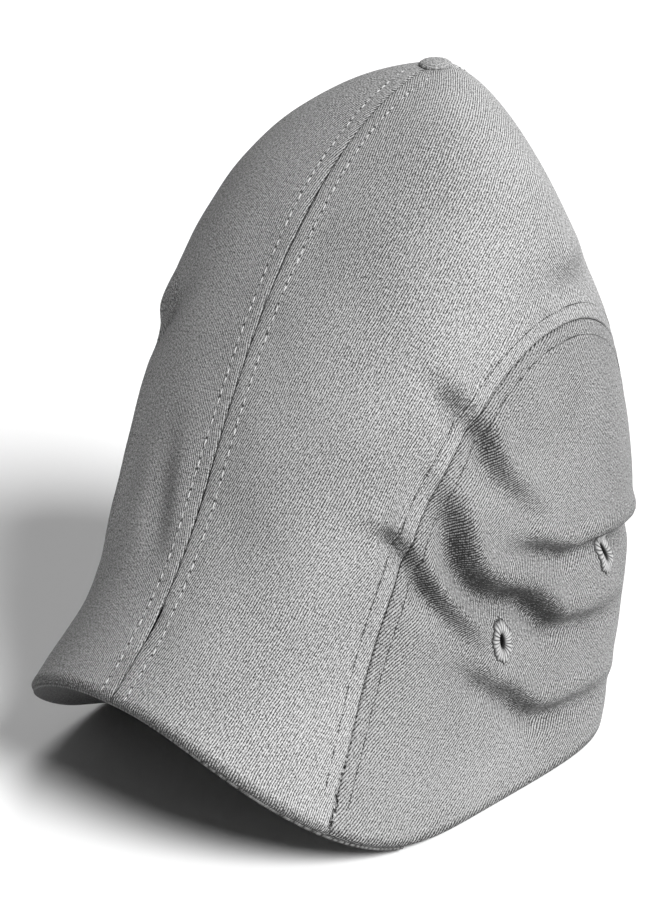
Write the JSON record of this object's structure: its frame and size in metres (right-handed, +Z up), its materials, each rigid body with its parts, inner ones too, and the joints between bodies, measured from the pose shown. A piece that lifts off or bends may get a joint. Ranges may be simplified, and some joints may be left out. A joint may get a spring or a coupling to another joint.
{
  "type": "duckbill flat cap",
  "caption": "Duckbill flat cap in grey twill: seamed crown panels run over a short curved bill, with arched side panels, embroidered eyelets, covered button and sweatband.",
  "frame": {"origin": "bottom centre of the cap's box: the rim's plane, midway along the length and on the cap's middle plane", "axes": "+Z up, -Y towards the bill, +X towards the wearer's left; the middle plane is X = 0"},
  "size_m": [0.1846, 0.2574, 0.2849],
  "materials": {
    "grey_twill": "mid grey cotton twill, matt, fine diagonal weave",
    "under_bill_twill": "darker grey cotton twill, matt",
    "light_thread": "light grey topstitch thread, soft sheen",
    "dark_thread": "dark grey topstitch thread, soft sheen",
    "eyelet_thread": "grey embroidery thread in worked eyelets, soft sheen",
    "sweatband_cotton": "dark grey cotton band, matt",
    "seam_tape": "dark bias tape over the inside seams, matt",
    "elastic_webbing": "black woven elastic, ribbed",
    "label_cloth": "plain pale woven label with nothing on it",
    "bill_board_plastic": "pale flexible stiffening board",
    "washer_metal": "small plain steel washer"
  },
  "bodies": {
    "root": {"left_crown_panel": "grey_twill", "right_crown_panel": "grey_twill", "left_side_panel": "grey_twill", "right_side_panel": "grey_twill", "crown_button": "grey_twill", "under_bill_panel": "under_bill_twill", "left_centre_stitch_row": "light_thread", "right_centre_stitch_row": "light_thread", "left_arch_stitch_row_upper": "dark_thread", "right_arch_stitch_row_upper": "dark_thread", "left_arch_stitch_row_lower": "dark_thread", "right_arch_stitch_row_lower": "dark_thread", "left_front_eyelet": "eyelet_thread", "right_front_eyelet": "eyelet_thread", "left_rear_eyelet": "eyelet_thread", "right_rear_eyelet": "eyelet_thread", "sweatband": "sweatband_cotton", "front_seam_tape": "seam_tape", "back_seam_tape": "seam_tape", "left_arch_seam_tape": "seam_tape", "right_arch_seam_tape": "seam_tape", "back_elastic": "elastic_webbing", "size_label": "label_cloth", "bill_board": "bill_board_plastic", "button_washer": "washer_metal"}
  },
  "joints": []
}
